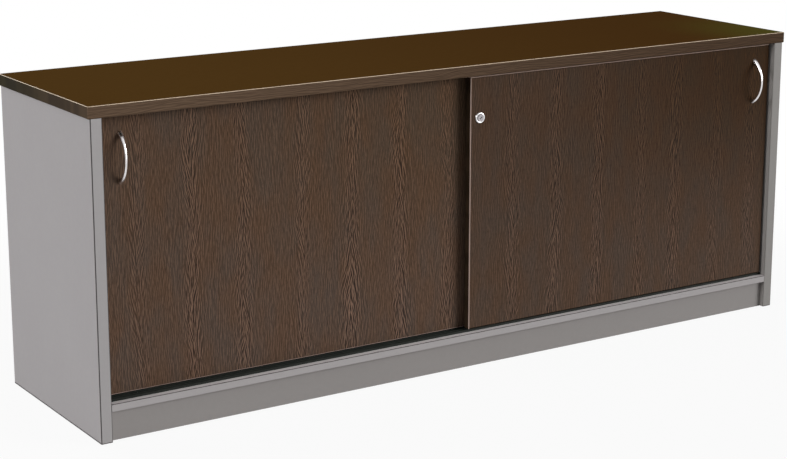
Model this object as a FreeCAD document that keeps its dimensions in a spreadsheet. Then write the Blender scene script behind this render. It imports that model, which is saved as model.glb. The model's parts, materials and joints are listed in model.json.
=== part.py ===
import FreeCAD, Part
import os
import re

import Sketcher
from FreeCAD import Placement, Rotation, Vector

# An office credenza with two sliding doors, in millimetres. X runs along its front to the
# right, Y from front to back and Z up. The origin is on the floor, in the middle of the space
# that the cabinet and its handles take. Every size below is set once, in the sheet.

DRIVING_SIZES = (
    ("overall_width", 1800, "length of the top"),
    ("overall_depth", 450, "depth of the carcass"),
    ("overall_height", 680, "floor to the top surface"),
    ("top_thickness", 25, "top board"),
    ("top_edging", 2, "thick plastic edging round the top"),
    ("end_thickness", 25, "end panels"),
    ("end_overhang", 4, "top beyond each end panel"),
    ("end_edging", 2, "thick plastic edging on the end panels"),
    ("board_edging", 1, "thin edging on the other boards"),
    ("glide_stand", 2, "gap between the panels and the floor"),
    ("glide_diameter", 18, "foot of a floor glide"),
    ("glide_foot", 6, "height of a glide's foot"),
    ("glide_stem_diameter", 8, "stem pressed into the panel"),
    ("glide_stem", 16, "length of the stem"),
    ("glide_inset", 45, "glide from the front and from the rear"),
    ("kick_height", 63, "kick plate and rear rail"),
    ("kick_thickness", 16, "kick plate and rear rail"),
    ("kick_setback", 11, "kick plate behind the front"),
    ("rail_setback", 30, "rear rail ahead of the back"),
    ("base_thickness", 16, "base board"),
    ("back_thickness", 8, "back panel"),
    ("back_inset", 12, "back panel ahead of the rear edges"),
    ("back_tongue", 7, "back panel let into the boards"),
    ("divider_thickness", 18, "centre divider"),
    ("divider_clearance", 8, "behind the rear door"),
    ("shelf_thickness", 18, "shelves"),
    ("shelf_setback", 12, "shelves behind the divider's edge"),
    ("shelf_rise", 280, "shelf above the base"),
    ("shelf_side_gap", 1.5, "each end of a shelf"),
    ("shelf_rear_gap", 2, "behind a shelf"),
    ("shelf_hole_pitch", 32, "between shelf pin holes"),
    ("shelf_hole_count", 5, "holes in one row"),
    ("shelf_hole_depth", 8.5, "depth of a shelf pin hole"),
    ("shelf_pin_diameter", 5, "shelf pin"),
    ("shelf_pin_stem", 8, "shelf pin in the board, and out of it"),
    ("shelf_pin_collar", 8, "collar of a shelf pin"),
    ("shelf_pin_inset", 37, "pin rows from the edges of the shelf space"),
    ("cam_diameter", 15, "cam disc"),
    ("cam_depth", 12.5, "cam disc"),
    ("cam_setback", 34, "cam centre from the joint"),
    ("cam_bolt_diameter", 7, "plain part of a cam bolt"),
    ("cam_bolt_thread", 11, "cam bolt in the next board"),
    ("cam_bolt_thread_diameter", 5, "threaded end of a cam bolt"),
    ("cam_bolt_depth", 8, "cam bolt below the cam's face"),
    ("cam_bolt_tip_gap", 2, "cam bolt short of the cam's centre"),
    ("cam_recess", 8, "across the driver recess"),
    ("cam_recess_width", 1.6, "one arm of the driver recess"),
    ("cam_recess_depth", 2, "driver recess"),
    ("front_cam_inset", 90, "front cams behind the front"),
    ("rear_cam_inset", 70, "rear cams ahead of the rear"),
    ("dowel_diameter", 8, "wooden dowel"),
    ("dowel_length", 30, "wooden dowel"),
    ("dowel_in_face", 10, "dowel in the face of a board"),
    ("dowel_pitch", 500, "between the dowels of a rail"),
    ("door_thickness", 18, "door with its edging"),
    ("door_edging", 2, "thick plastic edging round a door"),
    ("door_recess", 11, "front door behind the front"),
    ("door_gap", 5, "between the two doors"),
    ("door_overlap", 12, "front door over rear door when closed"),
    ("closing_gap", 6, "door edge to end panel when closed"),
    ("door_bottom_gap", 7, "door above the base"),
    ("door_top_gap", 2.5, "door below the top"),
    ("buffer_diameter", 10, "rubber door buffer"),
    ("buffer_stem", 6, "buffer in the panel"),
    ("buffer_stem_diameter", 4, "buffer in the panel"),
    ("buffer_inset", 100, "buffers from the door's top and bottom"),
    ("track_floor", 2, "floor of the bottom track"),
    ("track_wall", 2, "walls of the bottom track"),
    ("track_height", 5, "height of the bottom track"),
    ("track_channel", 8, "channel of the bottom track"),
    ("track_end_gap", 0.5, "track short of the end panels"),
    ("track_screw_count", 5, "screws along the track"),
    ("track_screw_inset", 71, "end track screws from the end panels"),
    ("track_screw_diameter", 3, "shank of a track screw"),
    ("track_screw_head", 6, "head of a track screw"),
    ("track_screw_length", 14, "track screw under its head"),
    ("wheel_diameter", 18, "roller wheel"),
    ("wheel_width", 6, "roller wheel"),
    ("wheel_pocket_gap", 1.5, "round the wheel in its housing"),
    ("wheel_side_gap", 0.5, "each side of the wheel in its housing"),
    ("axle_diameter", 4, "roller axle"),
    ("housing_length", 50, "roller housing"),
    ("housing_width", 11, "roller housing"),
    ("housing_height", 24, "roller housing"),
    ("roller_inset", 70, "rollers from the door's ends"),
    ("guide_pin_diameter", 7, "guide pin"),
    ("guide_engagement", 5, "guide pin above the top's underside"),
    ("guide_pin_tail", 15, "guide pin below the door's top edge"),
    ("guide_throw", 8, "how far a guide pin draws down"),
    ("guide_sleeve_diameter", 11, "guide sleeve"),
    ("guide_sleeve_length", 26, "guide sleeve"),
    ("guide_tab_width", 5, "thumb tab of a guide pin"),
    ("guide_tab_drop", 11, "thumb tab below the door's top edge"),
    ("guide_tab_reach", 2, "thumb tab behind the door"),
    ("guide_tab_gap", 0.4, "round a thumb tab in its slot"),
    ("guide_inset", 70, "guide pins from the door's ends"),
    ("channel_gap", 0.4, "each side of a guide pin in its channel"),
    ("channel_wall", 2, "wall of a top channel"),
    ("channel_depth", 7, "open depth of a top channel"),
    ("handle_height", 108, "bow handle, end to end"),
    ("handle_projection", 28, "bow handle out of the door"),
    ("handle_foot", 12, "foot of the bow on the door"),
    ("strap_width", 10, "strap of the handle at its feet"),
    ("strap_waist", 5.5, "width of the strap at its middle"),
    ("strap_thickness", 4, "strap at its middle"),
    ("strap_rounding", 1.2, "rounding of the strap's edges"),
    ("handle_inset", 45, "handle from the door's closing edge"),
    ("handle_drop", 86, "handle's middle below the door's top edge"),
    ("handle_screw_centres", 96, "between the handle's screws"),
    ("handle_screw_diameter", 4, "handle screw"),
    ("handle_screw_bite", 4, "handle screw in the handle"),
    ("handle_screw_head", 8, "head of a handle screw"),
    ("handle_screw_head_depth", 2.6, "head of a handle screw"),
    ("lock_inset", 25, "lock from the front door's inner edge"),
    ("lock_drop", 91, "lock below the door's top edge"),
    ("rosette_diameter", 24, "ring round the lock"),
    ("rosette_thickness", 2.5, "ring round the lock"),
    ("rosette_gap", 0.4, "between the ring and the barrel"),
    ("lock_sleeve_diameter", 19, "lock sleeve"),
    ("lock_flange_diameter", 28, "flange behind the door"),
    ("lock_flange", 1.5, "thickness of the flange"),
    ("barrel_diameter", 16, "push barrel"),
    ("barrel_length", 18, "push barrel"),
    ("lock_bolt_diameter", 8, "bolt behind the barrel"),
    ("lock_stroke", 3.5, "how far the barrel is pushed in"),
    ("barrel_proud", 0.5, "push barrel out of the door when pushed in"),
    ("core_diameter", 10, "key core"),
    ("core_length", 13, "key core"),
    ("keyway_length", 7, "keyway"),
    ("keyway_width", 2, "keyway"),
    ("keyway_depth", 9, "keyway"),
    ("keyway_turn", 45, "keyway's angle when the key is out"),
    ("running_gap", 0.3, "wheels above the track, and closed doors off their buffers"),
    ("shaft_clearance", 0.05, "radial clearance of turning and sliding shafts"),
    ("bore_clearance", 0.1, "radial clearance of pressed and glued pieces"),
    ("arris", 1, "rounding of edged boards"),
)

WORKED_OUT_SIZES = (
    ("front_y", "-overall_depth/2 + (handle_projection - door_recess)/2"),
    ("rear_y", "front_y + overall_depth"),
    ("top_bottom_z", "overall_height - top_thickness"),
    ("inner_half", "overall_width/2 - end_overhang - end_thickness"),
    ("base_bottom_z", "glide_stand + kick_height"),
    ("base_top_z", "base_bottom_z + base_thickness"),
    ("front_door_y", "front_y + door_recess"),
    ("rear_door_y", "front_door_y + door_thickness + door_gap"),
    ("door_pitch", "rear_door_y - front_door_y"),
    ("door_width", "inner_half - closing_gap + door_overlap/2"),
    ("door_bottom_z", "base_top_z + door_bottom_gap"),
    ("door_top_z", "top_bottom_z - door_top_gap"),
    ("door_height", "door_top_z - door_bottom_z"),
    ("divider_front_y", "rear_door_y + door_thickness + divider_clearance"),
    ("back_front_y", "rear_y - back_inset - back_thickness"),
    ("shelf_front_y", "divider_front_y + shelf_setback"),
    ("shelf_bottom_z", "base_top_z + shelf_rise"),
    ("shelf_pin_z", "shelf_bottom_z - bore_clearance - shelf_pin_diameter/2"),
    ("front_pin_y", "divider_front_y + shelf_pin_inset"),
    ("rear_pin_y", "back_front_y - shelf_pin_inset"),
    ("front_cam_y", "front_y + front_cam_inset"),
    ("rear_cam_y", "rear_y - rear_cam_inset"),
    ("wheel_z", "base_top_z + track_floor + running_gap + wheel_diameter/2"),
    ("handle_z", "door_top_z - handle_drop"),
    ("lock_z", "door_top_z - lock_drop"),
    ("barrel_stand", "barrel_proud + lock_stroke"),
)

X, Y, Z = Vector(1, 0, 0), Vector(0, 1, 0), Vector(0, 0, 1)
UPRIGHT = Rotation()
SIDES = (("left", -1), ("right", 1))
SIZE_NAMES = {entry[0] for entry in DRIVING_SIZES + WORKED_OUT_SIZES}

doc = FreeCAD.newDocument("Credenza")
sizes = doc.addObject("Spreadsheet::Sheet", "Sizes")
subparts = []


# ---- the sheet, and what ties pieces to it ----

def fill_sheet():
    """Write every size into the sheet, each cell named by its alias."""
    row = 0
    for name, number, meaning in DRIVING_SIZES:
        row += 1
        sizes.set(f"A{row}", name)
        sizes.set(f"B{row}", str(number))
        sizes.set(f"C{row}", meaning)
        sizes.setAlias(f"B{row}", name)
    for name, formula in WORKED_OUT_SIZES:
        row += 1
        sizes.set(f"A{row}", name)
        sizes.set(f"B{row}", f"={formula}")
        sizes.setAlias(f"B{row}", name)
    doc.recompute()


def linked(formula):
    """A formula whose size names point at the sheet."""
    def point(word):
        return f"Sizes.{word.group()}" if word.group() in SIZE_NAMES else word.group()
    return re.sub("[a-z_]+", point, formula)


def value(formula):
    return float(sizes.evalExpression(linked(formula)))


def bind(thing, path, formula):
    thing.setExpression(path, linked(formula))


def moved(spot, way, distance):
    """A spot's three formulas, moved along a unit vector by a distance."""
    return [f"{here} + {part:g}*({distance})" if part else here
            for here, part in zip(spot, way)]


def place(thing, spot, turn=UPRIGHT):
    thing.Placement = Placement(Vector(*(value(formula) for formula in spot)), turn)
    for axis, formula in zip("xyz", spot):
        bind(thing, f"Placement.Base.{axis}", formula)


def keep(label, piece):
    """Name a finished sub-part and put it on the list to be written."""
    piece.Label = label
    subparts.append(piece)
    return piece


# ---- solids ----

def block(name, middle_x, front, bottom, length, depth, height):
    """A box by the middle of its length, its front and its bottom."""
    box = doc.addObject("Part::Box", name)
    bind(box, "Length", length)
    bind(box, "Width", depth)
    bind(box, "Height", height)
    place(box, (f"{middle_x} - ({length})/2", front, bottom))
    return box


def rod(name, spot, way, diameter, length):
    """A cylinder that starts at a spot and runs along a way."""
    cylinder = doc.addObject("Part::Cylinder", name)
    bind(cylinder, "Radius", f"({diameter})/2")
    bind(cylinder, "Height", length)
    place(cylinder, spot, Rotation(Z, way))
    return cylinder


def joined(name, pieces):
    fuse = doc.addObject("Part::MultiFuse", name)
    fuse.Shapes = pieces
    return fuse


def gathered(name, pieces):
    """Separate solids that share one name."""
    group = doc.addObject("Part::Compound", name)
    group.Links = pieces
    return group


def cut(name, blank, tools):
    piece = doc.addObject("Part::Cut", name)
    piece.Base = blank
    piece.Tool = tools[0] if len(tools) == 1 else joined(f"{name}_cuts", tools)
    return piece


def rounded(name, piece, outward, radius):
    """The piece with the two long edges of its outward face rounded."""
    doc.recompute()
    face = max(piece.Shape.Faces, key=lambda each: each.CenterOfMass.dot(outward))
    long_edges = sorted(face.Edges, key=lambda edge: edge.Length)[-2:]
    fillet = doc.addObject("Part::Fillet", name)
    fillet.Base = piece
    fillet.Edges = [(number, value(radius), value(radius))
                    for number, edge in enumerate(piece.Shape.Edges, 1)
                    if any(edge.isSame(long_edge) for long_edge in long_edges)]
    return fillet


def new_body(name, spot, turn=UPRIGHT):
    body = doc.addObject("PartDesign::Body", name)
    place(body, spot, turn)
    return body


def new_sketch(body, role):
    """A sketch on one of the body's own origin planes."""
    sketch = body.newObject("Sketcher::SketchObject", f"{body.Name}_sketch")
    planes = [feature for feature in body.Origin.OriginFeatures if feature.Role == role]
    sketch.AttachmentSupport = (planes[0], [""])
    sketch.MapMode = "FlatFace"
    return sketch


def hold(sketch, kind, curve, end, formula):
    """Tie one coordinate of a curve's end to a formula."""
    number = sketch.addConstraint(
        Sketcher.Constraint(kind, -1, 1, curve, end, value(formula)))
    name = f"{kind}_{curve}_{end}"
    sketch.renameConstraint(number, name)
    bind(sketch, f"Constraints.{name}", formula)


def draw_outline(sketch, corners):
    """A closed outline of straight lines through corners given as formulas."""
    spots = [Vector(value(across), value(up), 0) for across, up in corners]
    for start, end in zip(spots, spots[1:] + spots[:1]):
        sketch.addGeometry(Part.LineSegment(start, end))
    last = len(corners) - 1
    for line, (across, up) in enumerate(corners):
        before = line - 1 if line else last
        sketch.addConstraint(Sketcher.Constraint("Coincident", before, 2, line, 1))
        hold(sketch, "DistanceX", line, 1, across)
        hold(sketch, "DistanceY", line, 1, up)


def turned(name, spot, way, profile):
    """A round piece from its half profile: radius, then height along its way."""
    body = new_body(name, spot, Rotation(Z, way))
    sketch = new_sketch(body, "XZ_Plane")
    draw_outline(sketch, profile)
    spin = body.newObject("PartDesign::Revolution", f"{name}_spin")
    spin.Profile = sketch
    spin.ReferenceAxis = (sketch, ["V_Axis"])
    spin.Angle = 360
    return body


def extruded(name, spot, profile, length):
    """A long piece along X from its end profile, with its middle at the spot."""
    body = new_body(name, spot)
    sketch = new_sketch(body, "YZ_Plane")
    draw_outline(sketch, profile)
    pad = body.newObject("PartDesign::Pad", f"{name}_pad")
    pad.Profile = sketch
    pad.SideType = "Symmetric"
    bind(pad, "Length", length)
    return body


# ---- joints between boards ----

class Drilling:
    """Collects each board's bores while the fittings are made."""

    def __init__(self):
        self.bores = {}

    def add(self, board, tool):
        self.bores.setdefault(board, []).append(tool)

    def finish(self, board, blank):
        return cut(f"{board}_drilled", blank, self.bores[board])


drilling = Drilling()


def cam_fitting(name, spot, face_way, bolt_way, board, next_board):
    """A cam in a board's face and its bolt in the next board; both boards get their bores."""
    turn = Rotation(bolt_way, face_way.cross(bolt_way), face_way, "ZXY")
    disc = rod(f"{name}_disc", ("0", "0", "0"), -Z, "cam_diameter", "cam_depth")
    recess = [
        block(f"{name}_recess_a", "0", "-cam_recess_width/2", "-cam_recess_depth",
              "cam_recess", "cam_recess_width", "cam_recess_depth"),
        block(f"{name}_recess_b", "0", "-cam_recess/2", "-cam_recess_depth",
              "cam_recess_width", "cam_recess", "cam_recess_depth"),
    ]
    mouth = rod(f"{name}_mouth", ("0", "0", "-cam_bolt_depth"), X,
                "cam_bolt_diameter + 2*bore_clearance", "cam_diameter")
    cam = cut(f"{name}_cam", disc, recess + [mouth])
    place(cam, spot, turn)

    centre = moved(spot, face_way, "-cam_bolt_depth")
    joint = moved(centre, bolt_way, "cam_setback")
    bolt = turned(f"{name}_bolt", joint, bolt_way, (
        ("0", "cam_bolt_tip_gap - cam_setback"),
        ("cam_bolt_diameter/2", "cam_bolt_tip_gap - cam_setback"),
        ("cam_bolt_diameter/2", "0"),
        ("cam_bolt_thread_diameter/2", "0"),
        ("cam_bolt_thread_diameter/2", "cam_bolt_thread"),
        ("0", "cam_bolt_thread"),
    ))
    drilling.add(board, rod(f"{name}_pocket", spot, -face_way,
                            "cam_diameter + 2*bore_clearance", "cam_depth + bore_clearance"))
    drilling.add(board, rod(f"{name}_bore", centre, bolt_way,
                            "cam_bolt_diameter + 2*bore_clearance", "cam_setback"))
    drilling.add(next_board, rod(f"{name}_pilot", joint, bolt_way,
                                 "cam_bolt_thread_diameter + 2*bore_clearance",
                                 "cam_bolt_thread + bore_clearance"))
    return cam, bolt


def dowel_fitting(name, spot, face_way, board, face_board):
    """A dowel across a joint: the spot is on the joint, the way points into the face board."""
    start = moved(spot, face_way, "dowel_in_face - dowel_length")
    dowel = rod(f"{name}_dowel", start, face_way, "dowel_diameter", "dowel_length")
    for joined_board, way, depth in ((board, -face_way, "dowel_length - dowel_in_face"),
                                     (face_board, face_way, "dowel_in_face")):
        drilling.add(joined_board, rod(f"{name}_in_{joined_board}", spot, way,
                                       "dowel_diameter + 2*bore_clearance",
                                       f"{depth} + bore_clearance"))
    return dowel


def make_board_fittings():
    cams, dowels = [], []
    insets = (("front", "front_cam_y"), ("rear", "rear_cam_y"))
    for hand, side in SIDES:
        inward, outward = Vector(-side, 0, 0), Vector(side, 0, 0)
        face_x = f"{side}*inner_half"
        cam_x = f"{side}*(inner_half - cam_setback)"
        end = f"{hand}_end"
        for where, cam_y in insets:
            cams.append(cam_fitting(
                f"{hand}_{where}_top", (face_x, cam_y, "top_bottom_z - cam_setback"),
                inward, Z, end, "top"))
            cams.append(cam_fitting(
                f"{hand}_{where}_base", (cam_x, cam_y, "base_bottom_z"),
                -Z, outward, "base", end))
        kick_middle = "glide_stand + kick_height/2"
        cams.append(cam_fitting(
            f"{hand}_kick", (cam_x, "front_y + kick_setback + kick_thickness", kick_middle),
            Y, outward, "kick", end))
        cams.append(cam_fitting(
            f"{hand}_rail", (cam_x, "rear_y - rail_setback - kick_thickness", kick_middle),
            -Y, outward, "rail", end))
        dowels.append(dowel_fitting(
            f"{hand}_top", (f"{side}*(inner_half + end_thickness/2)",
                            "(front_cam_y + rear_cam_y)/2", "top_bottom_z"),
            Z, end, "top"))
    for where, cam_y in insets:
        cams.append(cam_fitting(
            f"divider_{where}_top", ("divider_thickness/2", cam_y, "top_bottom_z - cam_setback"),
            X, Z, "divider", "top"))
        cams.append(cam_fitting(
            f"divider_{where}_base", ("divider_thickness/2", cam_y, "base_top_z + cam_setback"),
            X, -Z, "divider", "base"))
    for board, middle_y in (("kick", "front_y + kick_setback + kick_thickness/2"),
                            ("rail", "rear_y - rail_setback - kick_thickness/2")):
        for number, along in enumerate((-1, 0, 1), 1):
            dowels.append(dowel_fitting(
                f"{board}_{number}", (f"{along}*dowel_pitch", middle_y, "base_bottom_z"),
                Z, board, "base"))
    keep("cam_discs", gathered("cam_discs", [cam for cam, bolt in cams]))
    keep("cam_bolts", gathered("cam_bolts", [bolt for cam, bolt in cams]))
    keep("wooden_dowels", gathered("wooden_dowels", dowels))


def make_shelf_pins():
    """Rows of pin holes up both sides of each bay, and a pin in the middle hole of each."""
    middle_hole = (value("shelf_hole_count") - 1) / 2
    pins = []
    for hand, side in SIDES:
        faces = ((f"{hand}_end", f"{side}*inner_half", Vector(-side, 0, 0)),
                 ("divider", f"{side}*divider_thickness/2", Vector(side, 0, 0)))
        for board, face_x, outward in faces:
            for row, pin_y in (("front", "front_pin_y"), ("rear", "rear_pin_y")):
                name = f"{hand}_bay_{board}_{row}"
                pins.append(turned(f"{name}_pin", (face_x, pin_y, "shelf_pin_z"), outward, (
                    ("0", "-shelf_pin_stem"),
                    ("shelf_pin_diameter/2", "-shelf_pin_stem"),
                    ("shelf_pin_diameter/2", "0"),
                    ("shelf_pin_collar/2", "0"),
                    ("shelf_pin_collar/2", "shelf_side_gap - bore_clearance"),
                    ("shelf_pin_diameter/2", "shelf_side_gap - bore_clearance"),
                    ("shelf_pin_diameter/2", "shelf_pin_stem"),
                    ("0", "shelf_pin_stem"),
                )))
                for hole in range(int(value("shelf_hole_count"))):
                    hole_z = f"shelf_pin_z + {hole - middle_hole}*shelf_hole_pitch"
                    drilling.add(board, rod(f"{name}_hole", (face_x, pin_y, hole_z), -outward,
                                            "shelf_pin_diameter + 2*bore_clearance",
                                            "shelf_hole_depth"))
    keep("shelf_pins", gathered("shelf_pins", pins))


def make_floor_glides():
    glides = []
    for hand, side in SIDES:
        for where, glide_y in (("front", "front_y + glide_inset"),
                               ("rear", "rear_y - glide_inset")):
            spot = (f"{side}*(inner_half + end_thickness/2)", glide_y, "0")
            glides.append(turned(f"{hand}_{where}_glide", spot, Z, (
                ("0", "0"),
                ("glide_diameter/2 - arris", "0"),
                ("glide_diameter/2", "arris"),
                ("glide_diameter/2", "glide_foot"),
                ("glide_stem_diameter/2", "glide_foot"),
                ("glide_stem_diameter/2", "glide_foot + glide_stem"),
                ("0", "glide_foot + glide_stem"),
            )))
            drilling.add(f"{hand}_end", rod(f"{hand}_{where}_glide_seat", spot, Z,
                                            "glide_diameter + 2*bore_clearance", "glide_foot"))
            drilling.add(f"{hand}_end", rod(f"{hand}_{where}_glide_bore", spot, Z,
                                            "glide_stem_diameter + 2*bore_clearance",
                                            "glide_foot + glide_stem + bore_clearance"))
    keep("floor_glides", gathered("floor_glides", glides))


def make_door_buffers():
    """Rubber buffers where each door's closing edge meets its end panel."""
    buffers = []
    for (hand, side), door_y in zip(SIDES, ("rear_door_y", "front_door_y")):
        for where, buffer_z in (("low", "door_bottom_z + buffer_inset"),
                                ("high", "door_top_z - buffer_inset")):
            spot = (f"{side}*inner_half", f"{door_y} + door_thickness/2", buffer_z)
            reach = "closing_gap - running_gap"
            buffers.append(turned(f"{hand}_{where}_buffer", spot, Vector(-side, 0, 0), (
                ("0", "-buffer_stem"),
                ("buffer_stem_diameter/2", "-buffer_stem"),
                ("buffer_stem_diameter/2", "0"),
                ("buffer_diameter/2", "0"),
                ("buffer_diameter/2", f"{reach} - arris"),
                ("buffer_diameter/2 - arris", reach),
                ("0", reach),
            )))
            drilling.add(f"{hand}_end", rod(f"{hand}_{where}_buffer_bore", spot,
                                            Vector(side, 0, 0),
                                            "buffer_stem_diameter + 2*bore_clearance",
                                            "buffer_stem + bore_clearance"))
    keep("door_buffers", gathered("door_buffers", buffers))


# ---- tracks ----

def make_bottom_track():
    """A flat profile with two open channels, screwed down between them."""
    middle_y = "front_door_y + door_thickness + door_gap/2"
    outside = "door_pitch/2 + track_channel/2"
    inside = "door_pitch/2 - track_channel/2"
    right_half = (
        (f"{inside} - track_wall", "track_floor"),
        (f"{inside} - track_wall", "track_height"),
        (inside, "track_height"),
        (inside, "track_floor"),
        (outside, "track_floor"),
        (outside, "track_height"),
        (f"{outside} + track_wall", "track_height"),
        (f"{outside} + track_wall", "0"),
    )
    left_half = tuple((f"-({across})", up) for across, up in reversed(right_half))
    length = "2*inner_half - 2*track_end_gap"
    blank = extruded("track_profile", ("0", middle_y, "base_top_z"), left_half + right_half, length)
    screw_pitch = "(2*inner_half - 2*track_screw_inset)/(track_screw_count - 1)"
    screws, bores = [], []
    for number in range(int(value("track_screw_count"))):
        from_middle = number - (value("track_screw_count") - 1) / 2
        head_spot = (f"{from_middle}*{screw_pitch}", middle_y, "base_top_z + track_floor")
        head_slope = "(track_screw_head - track_screw_diameter)/2"
        screws.append(turned(f"track_screw_{number + 1}", head_spot, -Z, (
            ("0", "0"),
            ("track_screw_head/2", "0"),
            ("track_screw_diameter/2", head_slope),
            ("track_screw_diameter/2", "track_screw_length"),
            ("0", "track_screw_length"),
        )))
        bores.append(turned(f"track_screw_seat_{number + 1}", head_spot, -Z, (
            ("0", "0"),
            ("track_screw_head/2 + bore_clearance", "0"),
            ("track_screw_diameter/2 + bore_clearance", head_slope),
            ("track_screw_diameter/2 + bore_clearance", "track_screw_length + bore_clearance"),
            ("0", "track_screw_length + bore_clearance"),
        )))
        drilling.add("base", bores[-1])
    keep("bottom_track", cut("bottom_track", blank, bores))
    keep("track_screws", gathered("track_screws", screws))


def channel_size():
    """The outer width and height of a top channel, as formulas."""
    width = "(guide_pin_diameter + 2*channel_gap + 2*channel_wall)"
    return width, "(channel_depth + channel_wall)"


def make_top_channels():
    """One channel over each door, let into the underside of the top."""
    width, height = channel_size()
    for where, door_y in (("front", "front_door_y"), ("rear", "rear_door_y")):
        middle_y = f"{door_y} + door_thickness/2"
        outer, inner = f"{width}/2", f"{width}/2 - channel_wall"
        keep(f"{where}_top_channel", extruded(
            f"{where}_top_channel", ("0", middle_y, "top_bottom_z"), (
                (f"-{outer}", "0"),
                (f"-{outer}", height),
                (outer, height),
                (outer, "0"),
                (inner, "0"),
                (inner, "channel_depth"),
                (f"-({inner})", "channel_depth"),
                (f"-({inner})", "0"),
            ), "2*inner_half - 2*track_end_gap"))
        drilling.add("top", block(f"{where}_channel_groove", "0",
                                  f"{middle_y} - {width}/2 - bore_clearance", "top_bottom_z",
                                  "2*inner_half", f"{width} + 2*bore_clearance",
                                  f"{height} + bore_clearance"))


# ---- boards ----

def strip(name, spot_and_size, outward, radius="board_edging - bore_clearance"):
    """An edging strip with rounded outer edges."""
    return rounded(name, block(f"{name}_blank", *spot_and_size), outward, radius)


def cut_back_groove(board, spot_and_size):
    drilling.add(board, block(f"{board}_back_groove", *spot_and_size))


def make_top():
    core_depth = "overall_depth - 2*top_edging"
    side_x = "overall_width/2 - top_edging/2"
    radius = "top_edging - bore_clearance"
    full_length = ("overall_width", "top_edging", "top_thickness")
    keep("top_front_edging", strip("top_front_edging", (
        "0", "front_y", "top_bottom_z", *full_length), -Y, radius))
    keep("top_rear_edging", strip("top_rear_edging", (
        "0", "rear_y - top_edging", "top_bottom_z", *full_length), Y, radius))
    for hand, side in SIDES:
        keep(f"top_{hand}_edging", strip(f"top_{hand}_edging", (
            f"{side}*({side_x})", "front_y + top_edging", "top_bottom_z",
            "top_edging", core_depth, "top_thickness"), Vector(side, 0, 0), radius))
    blank = block("top_blank", "0", "front_y + top_edging", "top_bottom_z",
                  "overall_width - 2*top_edging", core_depth, "top_thickness")
    cut_back_groove("top", ("0", "back_front_y - bore_clearance", "top_bottom_z",
                            "2*inner_half + 2*back_tongue", "back_thickness + 2*bore_clearance",
                            "back_tongue + bore_clearance"))
    keep("top_board", drilling.finish("top", blank))


def make_end_panels():
    panel_height = "top_bottom_z - glide_stand"
    for hand, side in SIDES:
        middle_x = f"{side}*(inner_half + end_thickness/2)"
        keep(f"{hand}_end_edging", strip(f"{hand}_end_edging", (
            middle_x, "front_y", "glide_stand",
            "end_thickness", "end_edging", panel_height), -Y, "end_edging - bore_clearance"))
        blank = block(f"{hand}_end_blank", middle_x, "front_y + end_edging", "glide_stand",
                      "end_thickness", "overall_depth - end_edging", panel_height)
        groove = "back_tongue + bore_clearance"
        cut_back_groove(f"{hand}_end", (
            f"{side}*(inner_half + ({groove})/2)", "back_front_y - bore_clearance",
            "base_bottom_z", groove, "back_thickness + 2*bore_clearance",
            "top_bottom_z - base_bottom_z"))
        keep(f"{hand}_end_panel", drilling.finish(f"{hand}_end", blank))


def make_base():
    keep("base_edging", strip("base_edging", (
        "0", "front_y", "base_bottom_z", "2*inner_half", "board_edging", "base_thickness"), -Y))
    blank = block("base_blank", "0", "front_y + board_edging", "base_bottom_z",
                  "2*inner_half", "overall_depth - board_edging", "base_thickness")
    cut_back_groove("base", ("0", "back_front_y - bore_clearance",
                             "base_top_z - back_tongue - bore_clearance",
                             "2*inner_half", "back_thickness + 2*bore_clearance",
                             "back_tongue + bore_clearance"))
    keep("base_board", drilling.finish("base", blank))
    rail = ("glide_stand", "2*inner_half", "kick_thickness", "kick_height")
    kick = block("kick_blank", "0", "front_y + kick_setback", *rail)
    keep("kick_plate", drilling.finish("kick", kick))
    rear = block("rail_blank", "0", "rear_y - rail_setback - kick_thickness", *rail)
    keep("rear_rail", drilling.finish("rail", rear))


def make_back_panel():
    keep("back_panel", block("back_panel", "0", "back_front_y", "base_top_z - back_tongue",
                             "2*inner_half + 2*back_tongue", "back_thickness",
                             "top_bottom_z - base_top_z + 2*back_tongue"))


def make_divider():
    height = "top_bottom_z - base_top_z"
    keep("divider_edging", strip("divider_edging", (
        "0", "divider_front_y", "base_top_z", "divider_thickness", "board_edging", height), -Y))
    blank = block("divider_blank", "0", "divider_front_y + board_edging", "base_top_z",
                  "divider_thickness", "back_front_y - divider_front_y - board_edging", height)
    keep("centre_divider", drilling.finish("divider", blank))


def make_shelves():
    length = "inner_half - divider_thickness/2 - 2*shelf_side_gap"
    edgings = []
    for hand, side in SIDES:
        middle_x = f"{side}*(inner_half + divider_thickness/2)/2"
        edgings.append(strip(f"{hand}_shelf_edging", (
            middle_x, "shelf_front_y", "shelf_bottom_z",
            length, "board_edging", "shelf_thickness"), -Y))
        keep(f"{hand}_shelf", block(
            f"{hand}_shelf", middle_x, "shelf_front_y + board_edging", "shelf_bottom_z",
            length, "back_front_y - shelf_rear_gap - shelf_front_y - board_edging",
            "shelf_thickness"))
    keep("shelf_edging", gathered("shelf_edging", edgings))


# ---- doors ----

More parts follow.
